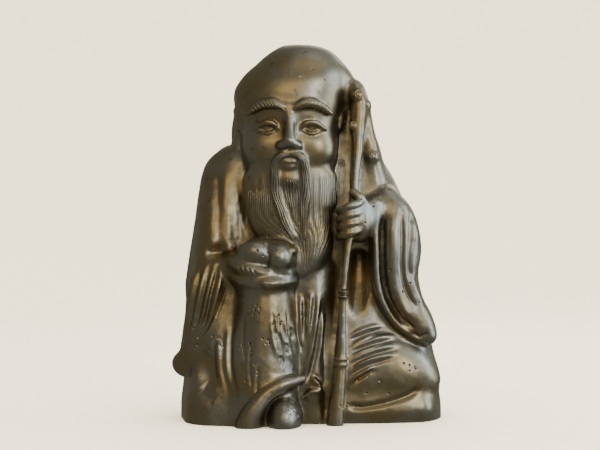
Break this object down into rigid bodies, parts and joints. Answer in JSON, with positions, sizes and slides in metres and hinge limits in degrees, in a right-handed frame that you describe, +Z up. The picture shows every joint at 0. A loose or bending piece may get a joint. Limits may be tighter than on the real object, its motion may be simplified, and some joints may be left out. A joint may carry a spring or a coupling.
{
  "type": "bronze sage statue",
  "caption": "Cast metal figure of a half-kneeling, long-bearded sage with a gnarled staff and a peach, standing on its flat underside.",
  "frame": {"origin": "centre of the figure's footprint box, on the flat underside", "axes": "+Z up to the crown of the head, -Y the way the figure faces, +X towards the staff side"},
  "size_m": [0.1296, 0.0822, 0.18],
  "materials": {
    "aged_bronze": "polished cast bronze gone brown in the hollows, with small casting pits"
  },
  "bodies": {
    "root": {"sage_figure": "aged_bronze"}
  },
  "joints": []
}
